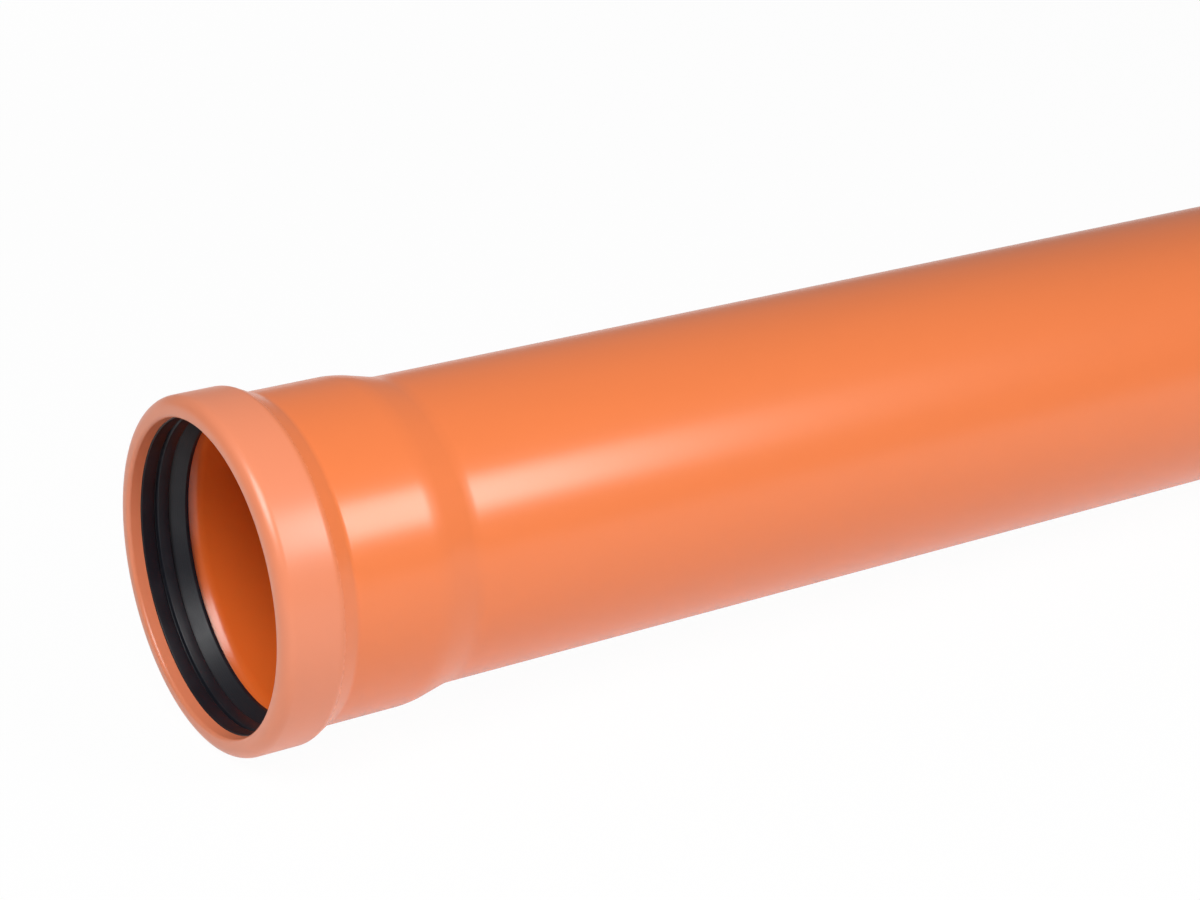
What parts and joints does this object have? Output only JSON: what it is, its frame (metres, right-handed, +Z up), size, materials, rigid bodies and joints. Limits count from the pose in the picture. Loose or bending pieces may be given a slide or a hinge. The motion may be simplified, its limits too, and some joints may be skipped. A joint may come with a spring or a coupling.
{
  "type": "pvc sewer pipe",
  "caption": "Belled plastic sewer pipe for push-fit joints, with a rubber lip seal in the socket and a chamfered spigot end.",
  "frame": {"origin": "on the floor, at the middle of the box around the lying pipe", "axes": "+X along the pipe from the socket's mouth to the spigot end, +Z up"},
  "size_m": [1.0929, 0.1824, 0.1826],
  "materials": {
    "orange_pvc": "smooth extruded surface with a soft gloss, a little duller on the bead",
    "black_rubber": "moulded rubber, satin"
  },
  "bodies": {
    "root": {"pipe": "orange_pvc", "sealing_ring": "black_rubber"}
  },
  "joints": []
}
